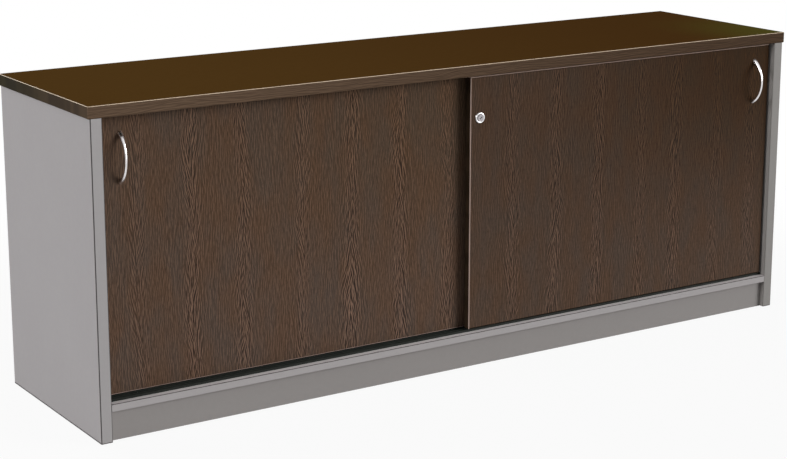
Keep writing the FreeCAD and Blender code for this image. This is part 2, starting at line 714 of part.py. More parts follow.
def make_roller(name, label, spot, housing_bottom):
    """A housing let into the door's bottom edge, with a wheel and its axle. Returns the axle."""
    x, wheel_y, z = spot
    pocket = "wheel_diameter + 2*wheel_pocket_gap"
    pocket_width = "(wheel_width + 2*wheel_side_gap)"
    blank = block(f"{name}_housing_blank", x, f"{wheel_y} - housing_width/2", housing_bottom,
                  "housing_length", "housing_width", "housing_height")
    opening = block(f"{name}_wheel_pocket", x, f"{wheel_y} - {pocket_width}/2", housing_bottom,
                    pocket, pocket_width,
                    f"{z} + wheel_diameter/2 + wheel_pocket_gap - {housing_bottom}")
    bore = rod(f"{name}_axle_bore", (x, f"{wheel_y} - housing_width/2", z), Y,
               "axle_diameter + 2*shaft_clearance", "housing_width")
    keep(f"{label}_roller_housing", cut(f"{name}_housing", blank, [opening, bore]))
    hub = "axle_diameter/2 + shaft_clearance"
    rim = "wheel_diameter/2"
    tread = "wheel_width/2 - arris"
    keep(f"{label}_roller_wheel", turned(f"{name}_wheel", spot, Y, (
        (hub, "-wheel_width/2"),
        (f"{rim} - arris", "-wheel_width/2"),
        (rim, f"-({tread})"),
        (rim, tread),
        (f"{rim} - arris", "wheel_width/2"),
        (hub, "wheel_width/2"),
    )))
    axle_length = "(housing_width - 2*bore_clearance)"
    return rod(f"{name}_axle", (x, f"{wheel_y} - {axle_length}/2", z), Y,
               "axle_diameter", axle_length)


def make_guide(name, label, spot, back_y):
    """A guide pin with a thumb tab in a slotted sleeve. Returns the sleeve and the door's cuts."""
    x, y, door_top = spot
    pin_radius = "guide_pin_diameter/2"
    tip = "door_top_gap + guide_engagement"
    pin = turned(f"{name}_pin_rod", spot, Z, (
        ("0", "-guide_pin_tail"),
        (pin_radius, "-guide_pin_tail"),
        (pin_radius, f"{tip} - arris"),
        (f"{pin_radius} - arris", tip),
        ("0", tip),
    ))
    tab_bottom = f"{door_top} - guide_tab_drop - guide_tab_width/2"
    tab = block(f"{name}_tab", x, y, tab_bottom, "guide_tab_width",
                f"{back_y} - ({y}) + guide_tab_reach", "guide_tab_width")
    keep(f"{label}_guide_pin", joined(f"{name}_pin", [pin, tab]))
    slot = block(f"{name}_tab_slot", x, y, f"{tab_bottom} - guide_throw - guide_tab_gap",
                 "guide_tab_width + 2*guide_tab_gap", f"{back_y} - ({y})",
                 "guide_tab_width + guide_throw + 2*guide_tab_gap")
    tube = rod(f"{name}_tube", spot, -Z, "guide_sleeve_diameter", "guide_sleeve_length")
    bore = rod(f"{name}_bore", spot, -Z, "guide_pin_diameter + 2*shaft_clearance",
               "guide_sleeve_length")
    sleeve = cut(f"{name}_sleeve", tube, [bore, slot])
    seat = rod(f"{name}_seat", spot, -Z, "guide_sleeve_diameter + 2*bore_clearance",
               "guide_sleeve_length + bore_clearance")
    return sleeve, [seat, slot]


def bow(sketch, edge, half, bulge):
    """An arc that bulges across from an edge, with its two ends at plus and minus half."""
    curve = sketch.GeometryCount
    across, reach = value(edge), value(half)
    crown = Vector(across + value(bulge), 0, 0)
    sketch.addGeometry(Part.Arc(Vector(across, -reach, 0), crown, Vector(across, reach, 0)))
    low_end = 1 if sketch.getPoint(curve, 1).y < 0 else 2
    high_end = 3 - low_end
    for end, height in ((low_end, f"-{half}"), (high_end, half)):
        hold(sketch, "DistanceX", curve, end, edge)
        hold(sketch, "DistanceY", curve, end, height)
    radius = f"({half}^2 + ({bulge})^2)/(2*abs({bulge}))"
    number = sketch.addConstraint(Sketcher.Constraint("Radius", curve, value(radius)))
    name = f"radius_{curve}"
    sketch.renameConstraint(number, name)
    bind(sketch, f"Constraints.{name}", radius)
    return (curve, low_end), (curve, high_end)


def join_ends(sketch, first, second):
    """A straight line between two held ends, each given as curve and end."""
    line = sketch.addGeometry(Part.LineSegment(sketch.getPoint(*first),
                                               sketch.getPoint(*second)))
    sketch.addConstraint(Sketcher.Constraint("Coincident", line, 1, *first))
    sketch.addConstraint(Sketcher.Constraint("Coincident", line, 2, *second))


def make_handle(name, spot, back_y):
    """A bow handle on the door's face, its screws, and the bores that they need."""
    body = new_body(f"{name}_bow", spot)
    profile = new_sketch(body, "YZ_Plane")
    half, foot = "(handle_height/2)", "(handle_height/2 - handle_foot)"
    outer = bow(profile, "0", half, "-handle_projection")
    inner = bow(profile, "0", foot, "strap_thickness - handle_projection")
    for outer_end, inner_end in zip(outer, inner):
        join_ends(profile, inner_end, outer_end)
    pad = body.newObject("PartDesign::Pad", f"{name}_pad")
    pad.Profile = profile
    pad.SideType = "Symmetric"
    bind(pad, "Length", "strap_width")
    sides = new_sketch(body, "XZ_Plane")
    for way in (-1, 1):
        waist = bow(sides, f"{way}*strap_width/2", half, f"{way}*(strap_waist - strap_width)/2")
        join_ends(sides, *waist)
    waisted = body.newObject("PartDesign::Pocket", f"{name}_waisted")
    waisted.Profile = sides
    waisted.Type = "ThroughAll"
    waisted.SideType = "Symmetric"
    doc.recompute()
    curved = [f"Edge{number}" for number, edge in enumerate(waisted.Shape.Edges, 1)
              if not isinstance(edge.Curve, Part.Line)]
    softened = body.newObject("PartDesign::Fillet", f"{name}_softened")
    softened.Base = (waisted, curved)
    bind(softened, "Radius", "strap_rounding")
    body.Tip = softened

    x, y, z = spot
    screws, taps, board_bores = [], [], []
    for end in (-1, 1):
        screw_z = f"{z} + {end}*handle_screw_centres/2"
        behind = (x, back_y, screw_z)
        reach = "door_thickness + handle_screw_bite"
        screws.append(turned(f"{name}_screw", behind, -Y, (
            ("0", "0"),
            ("handle_screw_head/2", "0"),
            ("handle_screw_head/2", "handle_screw_head_depth"),
            ("handle_screw_diameter/2", "handle_screw_head_depth"),
            ("handle_screw_diameter/2", reach),
            ("0", reach),
        )))
        taps.append(rod(f"{name}_tap", (x, y, screw_z), -Y,
                        "handle_screw_diameter + 2*shaft_clearance",
                        "handle_screw_bite + shaft_clearance"))
        board_bores.append(rod(f"{name}_screw_bore", behind, -Y,
                               "handle_screw_diameter + 2*bore_clearance", "door_thickness"))
        board_bores.append(rod(f"{name}_head_bore", behind, -Y,
                               "handle_screw_head + 2*bore_clearance",
                               "handle_screw_head_depth"))
    keep(f"{name}_handle", cut(f"{name}_handle", body, taps))
    keep(f"{name}_handle_screws", gathered(f"{name}_handle_screws", screws))
    return board_bores


def make_lock(spot):
    """A push lock: ring, sleeve, barrel with its bolt, and key core. Returns the board's cuts."""
    sleeve_bore = "barrel_diameter/2 + shaft_clearance"
    ring_bore = "barrel_diameter/2 + rosette_gap"
    keep("lock_rosette", turned("lock_rosette", spot, -Y, (
        (ring_bore, "0"),
        ("rosette_diameter/2", "0"),
        ("rosette_diameter/2", "rosette_thickness - arris"),
        ("rosette_diameter/2 - arris", "rosette_thickness"),
        (ring_bore, "rosette_thickness"),
    )))
    keep("lock_sleeve", turned("lock_sleeve", spot, -Y, (
        (sleeve_bore, "0"),
        ("lock_sleeve_diameter/2", "0"),
        ("lock_sleeve_diameter/2", "lock_flange - door_thickness"),
        ("lock_flange_diameter/2", "lock_flange - door_thickness"),
        ("lock_flange_diameter/2", "-door_thickness"),
        (sleeve_bore, "-door_thickness"),
    )))
    core_bore = "core_diameter/2 + shaft_clearance"
    core_bottom = "barrel_stand - core_length - bore_clearance"
    shoulder = "barrel_stand - barrel_length"
    keep("lock_barrel", turned("lock_barrel", spot, -Y, (
        ("0", "bore_clearance - door_thickness"),
        ("lock_bolt_diameter/2", "bore_clearance - door_thickness"),
        ("lock_bolt_diameter/2", shoulder),
        ("barrel_diameter/2", shoulder),
        ("barrel_diameter/2", "barrel_stand - arris/2"),
        ("barrel_diameter/2 - arris/2", "barrel_stand"),
        (core_bore, "barrel_stand"),
        (core_bore, core_bottom),
        ("0", core_bottom),
    )))
    plug = rod("core_blank", ("0", "0", "barrel_stand"), -Z, "core_diameter", "core_length")
    keyway = block("keyway", "0", "-keyway_width/2", "barrel_stand - keyway_depth",
                   "keyway_length", "keyway_width", "keyway_depth")
    core = cut("lock_core", plug, [keyway])
    place(core, spot, Rotation(Z, -Y) * Rotation(Z, value("keyway_turn")))
    keep("lock_core", core)
    x, y, z = spot
    behind = (x, f"{y} + door_thickness", z)
    return [rod("lock_bore", spot, Y, "lock_sleeve_diameter + 2*bore_clearance",
                "door_thickness"),
            rod("lock_flange_seat", behind, -Y, "lock_flange_diameter + 2*bore_clearance",
                "lock_flange")]


def make_door(name, side, door_y):
    """A door with its edging, handle, rollers and guides. Side is where it closes."""
    middle_x = f"{side}*(inner_half - closing_gap - door_width/2)"
    middle_y = f"{door_y} + door_thickness/2"
    back_y = f"{door_y} + door_thickness"
    cuts, edge_cuts, axles, sleeves = [], [], [], []
    for hand, end in SIDES:
        label = f"{name}_{hand}"
        roller_x = f"{middle_x} + {end}*(door_width/2 - roller_inset)"
        axles.append(make_roller(f"{label}_roller", label, (roller_x, middle_y, "wheel_z"),
                                 "door_bottom_z"))
        edge_cuts.append(block(f"{label}_roller_slot", roller_x,
                               f"{middle_y} - housing_width/2 - bore_clearance", "door_bottom_z",
                               "housing_length + 2*bore_clearance",
                               "housing_width + 2*bore_clearance",
                               "housing_height + bore_clearance"))
        guide_x = f"{middle_x} + {end}*(door_width/2 - guide_inset)"
        sleeve, guide_cuts = make_guide(f"{label}_guide", label,
                                        (guide_x, middle_y, "door_top_z"), back_y)
        sleeves.append(sleeve)
        edge_cuts.extend(guide_cuts)
    keep(f"{name}_roller_axles", gathered(f"{name}_roller_axles", axles))
    keep(f"{name}_guide_sleeves", gathered(f"{name}_guide_sleeves", sleeves))
    handle_x = f"{side}*(inner_half - closing_gap - handle_inset)"
    cuts.extend(make_handle(name, (handle_x, door_y, "handle_z"), back_y))
    if name == "front_door":
        lock_x = f"{side}*(inner_half - closing_gap - door_width + lock_inset)"
        cuts.extend(make_lock((lock_x, door_y, "lock_z")))

    strips = []
    for hand, end in SIDES:
        strips.append(strip(f"{name}_{hand}_strip", (
            f"{middle_x} + {end}*(door_width/2 - door_edging/2)", door_y, "door_bottom_z",
            "door_edging", "door_thickness", "door_height"), Vector(end, 0, 0),
            "door_edging - bore_clearance"))
    for where, way, strip_z in (("bottom", -Z, "door_bottom_z"),
                                ("top", Z, "door_top_z - door_edging")):
        whole = strip(f"{name}_{where}_strip", (
            middle_x, door_y, strip_z,
            "door_width - 2*door_edging", "door_thickness", "door_edging"), way,
            "door_edging - bore_clearance")
        strips.append(cut(f"{name}_{where}_strip_cut", whole, edge_cuts))
    keep(f"{name}_edging", gathered(f"{name}_edging", strips))
    blank = block(f"{name}_blank", middle_x, door_y, "door_bottom_z + door_edging",
                  "door_width - 2*door_edging", "door_thickness", "door_height - 2*door_edging")
    keep(f"{name}_board", cut(f"{name}_board", blank, cuts + edge_cuts))


# ---- the whole cabinet ----

def check_model():
    """Stop if anything in the document failed, or if a sub-part is not a sound solid."""
    for thing in doc.Objects:
        if {"Invalid", "Error"} & set(thing.State):
            raise RuntimeError(f"{thing.Label} failed: {thing.State}")
    for piece in subparts:
        if piece.Shape.isNull() or not piece.Shape.isValid() or not piece.Shape.Solids:
            raise RuntimeError(f"{piece.Label} has no sound solid")
    labels = [piece.Label for piece in subparts]
    if len(set(labels)) != len(labels):
        raise RuntimeError("two sub-parts share a name")


def write_parts():
    os.makedirs("parts", exist_ok=True)
    for piece in subparts:
        piece.Shape.exportStep(f"parts/{piece.Label}.step")
        box = piece.Shape.BoundBox
        print(f"{piece.Label:32s} {len(piece.Shape.Solids):3d} solids"
              f"  {box.XLength:8.1f} x {box.YLength:6.1f} x {box.ZLength:6.1f}")


fill_sheet()
make_board_fittings()
make_shelf_pins()
make_floor_glides()
make_door_buffers()
make_bottom_track()
make_top_channels()
make_top()
make_end_panels()
make_base()
make_back_panel()
make_divider()
make_shelves()
make_door("front_door", 1, "front_door_y")
make_door("rear_door", -1, "rear_door_y")
doc.recompute()
check_model()
write_parts()
print(len(subparts), "sub-parts")
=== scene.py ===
# %% [markdown]
# # Dressing an office credenza
# The cabinet's boards, doors, tracks and fittings are already modelled at their real size. This
# lesson gives each of them its finish, makes the pieces whose shape needs soft curves, and sets
# up a plain studio. Everything is in metres: X runs along the front to the right, Y from front
# to back and Z up, with the origin on the floor under the cabinet's middle.

# %% Load the frame
import json
import math

import bmesh
import bpy
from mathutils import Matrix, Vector


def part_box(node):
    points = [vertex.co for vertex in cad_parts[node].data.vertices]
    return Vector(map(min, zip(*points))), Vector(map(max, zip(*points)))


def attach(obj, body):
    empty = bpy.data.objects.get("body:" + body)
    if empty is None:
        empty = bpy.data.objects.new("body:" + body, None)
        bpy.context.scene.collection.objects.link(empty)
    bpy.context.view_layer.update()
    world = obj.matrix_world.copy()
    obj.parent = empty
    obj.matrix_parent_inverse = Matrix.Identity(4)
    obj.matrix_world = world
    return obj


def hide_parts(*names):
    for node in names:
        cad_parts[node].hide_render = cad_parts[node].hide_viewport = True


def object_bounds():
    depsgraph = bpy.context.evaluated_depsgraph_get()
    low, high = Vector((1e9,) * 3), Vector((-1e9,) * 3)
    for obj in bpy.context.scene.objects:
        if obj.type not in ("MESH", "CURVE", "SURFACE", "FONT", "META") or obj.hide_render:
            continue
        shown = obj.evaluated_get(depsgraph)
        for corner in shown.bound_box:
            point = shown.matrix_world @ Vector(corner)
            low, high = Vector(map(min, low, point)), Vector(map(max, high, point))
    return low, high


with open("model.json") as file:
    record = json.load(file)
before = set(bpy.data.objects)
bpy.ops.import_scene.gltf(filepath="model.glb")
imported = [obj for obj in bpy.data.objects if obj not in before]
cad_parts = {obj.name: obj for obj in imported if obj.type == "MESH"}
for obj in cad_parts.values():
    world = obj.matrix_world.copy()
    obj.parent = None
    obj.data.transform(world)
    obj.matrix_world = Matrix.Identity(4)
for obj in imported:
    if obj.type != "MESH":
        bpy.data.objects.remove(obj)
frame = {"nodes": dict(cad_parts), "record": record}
cad_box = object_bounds()
nodes = frame["nodes"]
MM = 0.001
print("the cabinet measures", [round(high - low, 3) for low, high in zip(*cad_box)])

# %% [markdown]
# ## Small helpers for node trees
# A finish is a tree of nodes. Writing each node as one short call keeps a tree readable: `add`
# makes a node, and fills its inputs with either another node's output or a plain number.

# %% Node helpers


def fill(tree, socket, source):
    """Link a socket to an output, or set it to a number, vector or colour."""
    if isinstance(source, bpy.types.NodeSocket):
        tree.links.new(source, socket)
    else:
        socket.default_value = source


def add(tree, kind, inputs, **settings):
    """A new node, with its settings and its inputs by name or number."""
    node = tree.nodes.new(kind)
    for name, setting in settings.items():
        setattr(node, name, setting)
    for name, source in inputs.items():
        fill(tree, node.inputs[name], source)
    return node


def maths(tree, operation, *numbers):
    return add(tree, "ShaderNodeMath", dict(enumerate(numbers)), operation=operation).outputs[0]


def stretch(tree, number, low, high, new_low=0.0, new_high=1.0):
    """Map a range of numbers smoothly onto another, and stop at its ends."""
    return add(tree, "ShaderNodeMapRange", {
        "Value": number, "From Min": low, "From Max": high,
        "To Min": new_low, "To Max": new_high,
    }, interpolation_type="SMOOTHSTEP").outputs["Result"]


def vector(tree, x, y, z):
    return add(tree, "ShaderNodeCombineXYZ", {"X": x, "Y": y, "Z": z}).outputs["Vector"]


def parts_of(tree, position):
    """The three numbers of a position."""
    split = add(tree, "ShaderNodeSeparateXYZ", {"Vector": position})
    return split.outputs["X"], split.outputs["Y"], split.outputs["Z"]


def noise(tree, position, scale=1.0, detail=2.0, roughness=0.5):
    return add(tree, "ShaderNodeTexNoise", {
        "Vector": position, "Scale": scale, "Detail": detail, "Roughness": roughness,
    }).outputs["Fac"]


def blend_colours(tree, share, first, second):
    """The first colour where the share is 0, and the second where it is 1."""
    node = add(tree, "ShaderNodeMix", {0: share, 6: first, 7: second}, data_type="RGBA")
    return node.outputs[2]


def start_group(name, inputs, outputs):
    """A node group with named inputs and outputs. Returns the group and both sets of sockets."""
    group = bpy.data.node_groups.new(name, "ShaderNodeTree")
    for label, default in inputs.items():
        kind = "NodeSocketFloat" if isinstance(default, float) else "NodeSocketVector"
        socket = group.interface.new_socket(label, in_out="INPUT", socket_type=kind)
        socket.default_value = default
    for label in outputs:
        group.interface.new_socket(label, in_out="OUTPUT", socket_type="NodeSocketFloat")
    given = group.nodes.new("NodeGroupInput").outputs
    result = group.nodes.new("NodeGroupOutput").inputs
    return group, given, result


def use_group(tree, group, inputs):
    return add(tree, "ShaderNodeGroup", inputs, node_tree=group).outputs


print("node helpers are ready")

# %% [markdown]
# ## Colours
# Colours are written as they look on a screen, from 0 to 255, and turned into the linear
# numbers that shaders work with.

# %% Colours


def colour(red, green, blue):
    """A shader's colour from three levels on a screen."""
    def linear(level):
        share = level / 255
        return share / 12.92 if share <= 0.04045 else ((share + 0.055) / 1.055) ** 2.4
    return (linear(red), linear(green), linear(blue), 1.0)


def tinted(ground, red, green, blue):
    """A colour with more or less red, green and blue in it."""
    return (ground[0] * red, ground[1] * green, ground[2] * blue, 1.0)


WHITE = (1.0, 1.0, 1.0, 1.0)
GREY_LAMINATE = colour(156, 152, 153)
RIGHT_LAMINATE = colour(156, 152, 149)
# The base is a lighter copy of the grey: painted light on its top strip in front of the doors.
LIT_BASE_LAMINATE = colour(204, 198, 198)
KICK_LAMINATE = colour(138, 134, 132)
BACK_LAMINATE = colour(150, 146, 145)
GREY_EDGING = colour(155, 152, 152)
# The right edging is a darker copy of the grey edging: painted shade, light falling off
# rightwards.
SHADED_RIGHT_EDGING = colour(134, 131, 128)
BASE_EDGING = colour(159, 155, 155)
# Pale arris: a scraped line and a painted highlight. Dark arris: painted shade on unlit corners.
SCRAPED_AND_HIGHLIT_ARRIS = colour(222, 202, 178)
PAINTED_SHADE_ARRIS = colour(40, 30, 20)
DOOR_ARRIS = colour(182, 158, 147)
print("grey laminate in linear numbers:", [round(part, 3) for part in GREY_LAMINATE])

# %% [markdown]
# ## Wood figure
# The doors are faced with a dark striped wood-grain laminate. On the real sheet, leaves about a
# hand wide lie side by side. In the middle of each runs a narrow band of short broken dashes
# that lean towards each other in steep chevrons, where the saw met the growth rings at a slant,
# and between the bands the rings stand upright and show as fainter, straighter dashes. The
# group measures how far a spot is from the middle of its leaf and adds a share of its height:
# points with the same sum lie on a chevron. Noise that changes quickly along this sum and
# slowly with height makes dashes that lean by themselves, and taking away the same noise read
# half a line further on leaves only fine, crisp ones. Pores, the finest marks of all, are short
# dark threads. A painted image could do it too, but a formula has no edges and no resolution.

# %% Node group: wood figure
# Marks per metre, across the grain and along it.
SLOW_MARKS, TONE_MARKS, PORE_MARKS = (9.0, 5.0), (20.0, 8.0), (1500.0, 110.0)
# The most that a band lies off the middle of its leaf, in leaf widths.
BAND_SHIFT = 0.18
# The share of leaves whose chevrons point down.
UPSIDE_DOWN = 0.4
# How far apart neighbouring leaves, and the two halves of one leaf, are read in the noise.
LEAF_STEP, HALF_STEP = 5.3, 2.7
# How much the noise changes over half a line where a dash is at its strongest.
HALF_LINE, FULL_DASH = 0.5, 0.17
# The least boldness of a band, and the strength of the dashes between the bands.
LEAST_BOLDNESS, FAINTEST = 0.5, 0.35
# Smooth noise lies mostly between these two numbers.
NOISE_LOW, NOISE_HIGH = 0.3, 0.7
# The noise at which a pore begins, and at which it is at its darkest.
PORE_BEGINS, PORE_IS_FULL = 0.52, 0.68


def streaks(tree, across, along, start, marks, detail=1.0):
    """Noise drawn out along the grain, with so many marks per metre across and along it."""
    marks_across, marks_along = marks
    position = vector(tree, maths(tree, "MULTIPLY", across, marks_across), start,
                      maths(tree, "MULTIPLY", along, marks_along))
    return noise(tree, position, detail=detail)


def make_wood_figure():
    """Lines of a sliced log. The position's X runs across the grain and its Z along it."""
    tree, given, result = start_group("wood_figure", {
        "Position": (0.0, 0.0, 0.0),
        "Leaf Width": 0.12,
        "Lines Per Metre": 430.0,
        "Dashes Per Metre": 50.0,
        "Lean": 0.14,
        "Wander": 0.03,
        "Band Core": 0.008,
        "Band Reach": 0.034,
        "Start": 0.0,
    }, ("Grain", "Strength", "Tone", "Pores"))
    across, _, along = parts_of(tree, given["Position"])
    start = given["Start"]
    slow = streaks(tree, across, along, start, SLOW_MARKS)
    wandered = maths(tree, "MULTIPLY_ADD", slow, given["Wander"], across)

    # Each leaf has a number, which gives it three chances of its own.
    leaf = maths(tree, "ADD", maths(tree, "DIVIDE", wandered, given["Leaf Width"]), start)
    number = maths(tree, "ROUND", leaf)
    chances = add(tree, "ShaderNodeTexWhiteNoise", {"W": number}, noise_dimensions="1D")
    way, shift, boldness = parts_of(tree, chances.outputs["Color"])

    # The distance from the middle of the band, and the chevrons on both sides of it.
    off_middle = maths(tree, "MULTIPLY_ADD", shift, 2 * BAND_SHIFT, -BAND_SHIFT)
    in_leaves = maths(tree, "SUBTRACT", maths(tree, "SUBTRACT", leaf, number), off_middle)
    from_middle = maths(tree, "MULTIPLY", given["Leaf Width"], in_leaves)
    sideways = maths(tree, "ABSOLUTE", from_middle)
    point_up = maths(tree, "GREATER_THAN", way, UPSIDE_DOWN)
    sign = maths(tree, "MULTIPLY_ADD", point_up, 2.0, -1.0)
    lean = maths(tree, "MULTIPLY", given["Lean"], sign)
    chevron = maths(tree, "MULTIPLY_ADD", along, lean, sideways)
    right_half = maths(tree, "GREATER_THAN", from_middle, 0.0)
    far = maths(tree, "MULTIPLY_ADD", number, LEAF_STEP,
                maths(tree, "MULTIPLY", right_half, HALF_STEP))

    def dashes(distance):
        """Crisp dashes: noise less the same noise half a line further on."""
        lines = maths(tree, "MULTIPLY", distance, given["Lines Per Metre"])
        height = maths(tree, "MULTIPLY", along, given["Dashes Per Metre"])
        here, further = (
            noise(tree, vector(tree, maths(tree, "ADD", lines, step), height, far), detail=0.0)
            for step in (0.0, HALF_LINE))
        change = maths(tree, "SUBTRACT", here, further)
        return stretch(tree, change, -FULL_DASH, FULL_DASH)

    leaning, upright = dashes(chevron), dashes(wandered)
    band = stretch(tree, sideways, given["Band Core"], given["Band Reach"], 1.0, 0.0)
    difference = maths(tree, "SUBTRACT", leaning, upright)
    fill(tree, result["Grain"], maths(tree, "MULTIPLY_ADD", difference, band, upright))
    bold = maths(tree, "MULTIPLY", band, maths(
        tree, "MULTIPLY_ADD", boldness, 1.0 - LEAST_BOLDNESS, LEAST_BOLDNESS))
    fill(tree, result["Strength"], maths(tree, "MULTIPLY_ADD", bold, 1.0 - FAINTEST, FAINTEST))
    tone = streaks(tree, across, along, start, TONE_MARKS, detail=2.0)
    fill(tree, result["Tone"], stretch(tree, tone, NOISE_LOW, NOISE_HIGH))
    pores = streaks(tree, across, along, start, PORE_MARKS)
    fill(tree, result["Pores"], stretch(tree, pores, PORE_BEGINS, PORE_IS_FULL))
    return tree


wood_figure = make_wood_figure()
print("wood figure:", [socket.name for socket in wood_figure.interface.items_tree])

# %% [markdown]
# ## Arris line
# Thick plastic edging is glued on square and then scraped to a small radius. The scraper takes
# off the printed skin, so that a thin paler line runs along every scraped corner, the arris.
# Where a strip meets a face without a radius, a fine dark seam shows instead. Both lie where a
# spot is near two outer faces of the piece at once. The group finds them from the places of
# those faces, so that no line has to be modelled. The same line also carries painted light and
# shade: a painted highlight on the top's corners that face the light, painted shade on those
# that face away, and painted shadow along the bottoms of the end panels.

# %% Node group: arris line
# The share of the line's width that has its full strength. The rest fades out.
LINE_CORE = 0.8


def make_arris_line():
    """1 along the corners between outer faces of a box-shaped piece, and 0 elsewhere."""
    tree, given, result = start_group("arris_line", {
        "Position": (0.0, 0.0, 0.0),
        "Low Faces": (-1.0, -1.0, -1.0),
        "High Faces": (1.0, 1.0, 1.0),
        "Width": 0.002,
    }, ("Arris",))
    from_low = add(tree, "ShaderNodeVectorMath",
                   {0: given["Position"], 1: given["Low Faces"]}, operation="SUBTRACT")
    from_high = add(tree, "ShaderNodeVectorMath",
                    {0: given["High Faces"], 1: given["Position"]}, operation="SUBTRACT")
    nearest = add(tree, "ShaderNodeVectorMath", {
        0: from_low.outputs["Vector"], 1: from_high.outputs["Vector"]}, operation="MINIMUM")

    # The second smallest of the three distances is small only near two faces at once.
    x, y, z = parts_of(tree, nearest.outputs["Vector"])
    closer = maths(tree, "MINIMUM", x, z)
    farther = maths(tree, "MAXIMUM", x, z)
    second = maths(tree, "MAXIMUM", closer, maths(tree, "MINIMUM", y, farther))
    width = given["Width"]
    core = maths(tree, "MULTIPLY", width, LINE_CORE)
    fill(tree, result["Arris"], stretch(tree, second, core, width, 1.0, 0.0))
    return tree


arris_line = make_arris_line()
LOW, HIGH = 0, 1
FACES = {
    "left": (LOW, 0), "right": (HIGH, 0),
    "front": (LOW, 1), "back": (HIGH, 1),
    "bottom": (LOW, 2), "top": (HIGH, 2),
}
# A face that isn't named is put this far off.
FAR = 9.0


def corner_line(tree, place, node, faces, width):
    """Where a node's named outer faces meet. The width is in millimetres."""
    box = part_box(node)
    places = ([-FAR] * 3, [FAR] * 3)
    for face in faces.split():
        end, axis = FACES[face]
        places[end][axis] = box[end][axis]
    line = use_group(tree, arris_line, {
        "Position": place, "Low Faces": places[LOW], "High Faces": places[HIGH],
        "Width": width * MM})
    return line["Arris"]


print("arris line is ready")

# %% [markdown]
# ## Fine texture and handling marks
# Melamine, moulded plastic and cast metal all have a fine even texture that breaks up their
# highlights. Hands and cloths leave larger soft patches on top of it, which show only in how
# sharp a reflection is. Both are plain noise at the right size.

# %% Node groups: fine texture and handling marks
# The mottle's spots per metre, as a share of the grains per metre.
MOTTLE_SCALE = 0.08
# The noise at which a handled patch begins, and at which it is full.
PATCH_BEGINS, PATCH_IS_FULL = 0.42, 0.72


def make_fine_texture():
    """Even grains of a moulded or pressed surface, and a much larger faint mottle."""
    tree, given, result = start_group("fine_texture", {
        "Position": (0.0, 0.0, 0.0),
        "Grains Per Metre": 900.0,
    }, ("Height", "Mottle"))
    grains = given["Grains Per Metre"]
    height = noise(tree, given["Position"], grains, detail=3.0, roughness=0.6)
    fill(tree, result["Height"], height)
    coarse = maths(tree, "MULTIPLY", grains, MOTTLE_SCALE)
    mottle = noise(tree, given["Position"], coarse, detail=3.0, roughness=0.6)
    fill(tree, result["Mottle"], stretch(tree, mottle, NOISE_LOW, NOISE_HIGH))
    return tree


def make_handling_marks():
    """Soft patches left by hands and cloths."""
    tree, given, result = start_group("handling_marks", {
        "Position": (0.0, 0.0, 0.0),
        "Patches Per Metre": 9.0,
    }, ("Marks",))
    patches = noise(tree, given["Position"], given["Patches Per Metre"],
                    detail=4.0, roughness=0.65)
    fill(tree, result["Marks"], stretch(tree, patches, PATCH_BEGINS, PATCH_IS_FULL))
    return tree


fine_texture = make_fine_texture()
handling_marks = make_handling_marks()
print("groups so far:", [group.name for group in bpy.data.node_groups])

# %% [markdown]
# ## What every finish shares
# A finish is one Principled shader, with a colour, a roughness and a bump that come from the
# groups above. `start_finish` makes the material and gives the position on the piece, `handled`
# makes the roughness and `end_finish` ties the results to the shader.

# %% Start and end of a finish


def start_finish(name):
    material = bpy.data.materials.new(name)
    material.use_nodes = True
    tree = material.node_tree
    place = add(tree, "ShaderNodeTexCoord", {}).outputs["Object"]
    return material, tree, place


def handled(tree, place, roughness, change, patches=9.0):
    """A roughness that rises or falls by a change in soft patches, so many per metre."""
    marks = use_group(tree, handling_marks, {"Position": place, "Patches Per Metre": patches})
    return maths(tree, "MULTIPLY_ADD", marks["Marks"], change, roughness)


def end_finish(tree, base, roughness, height, depth, **constants):
    """Tie colour, roughness and bump to the shader. The depth is in millimetres."""
    shader = tree.nodes["Principled BSDF"]
    bump = add(tree, "ShaderNodeBump", {
        "Strength": 1.0, "Distance": depth * MM, "Height": height})
    fill(tree, shader.inputs["Base Color"], base)
    fill(tree, shader.inputs["Roughness"], roughness)
    fill(tree, shader.inputs["Normal"], bump.outputs["Normal"])
    for name, number in constants.items():
        shader.inputs[name.replace("_", " ")].default_value = number


def along_grain(tree, place, grain):
    """The position turned so that the grain runs along its Z."""
    x, y, z = parts_of(tree, place)
    order = {"X": (z, y, x), "Y": (x, z, y), "top": (y, z, x), "Z": (x, y, z)}[grain]
    return vector(tree, *order)


print("finish helpers are ready")

# %% [markdown]
# ## Door laminate
# Three colours make the wood: a brown ground, and a paler and a darker brown for the dashes.
# Dashes in the bands are bolder than those beside them, and the ground drifts between a warmer
# and a cooler brown, as the real print does. Each door is also painted a little deeper and
# warmer towards its upper right corner. This is painted shade, light falling off away from the
# lower left, and not a colour of the laminate.

# %% Finish: door laminate
# Shares of the ground's red, green and blue.
WARM, COOL = (1.06, 0.97, 0.86), (0.92, 1.02, 1.12)
PALE_DASH, DARK_DASH, PORE = (2.2, 2.1, 2.1), (0.25, 0.25, 0.27), (0.3, 0.29, 0.28)
DASH_COVER, PORE_COVER = 0.95, 0.5
# How much of the painted shade at the upper right corner reaches the upper left one.
SHADE_AT_LEFT = 0.4
# How much rougher the pale dashes are than the dark ones.
DASH_ROUGHNESS = 0.08


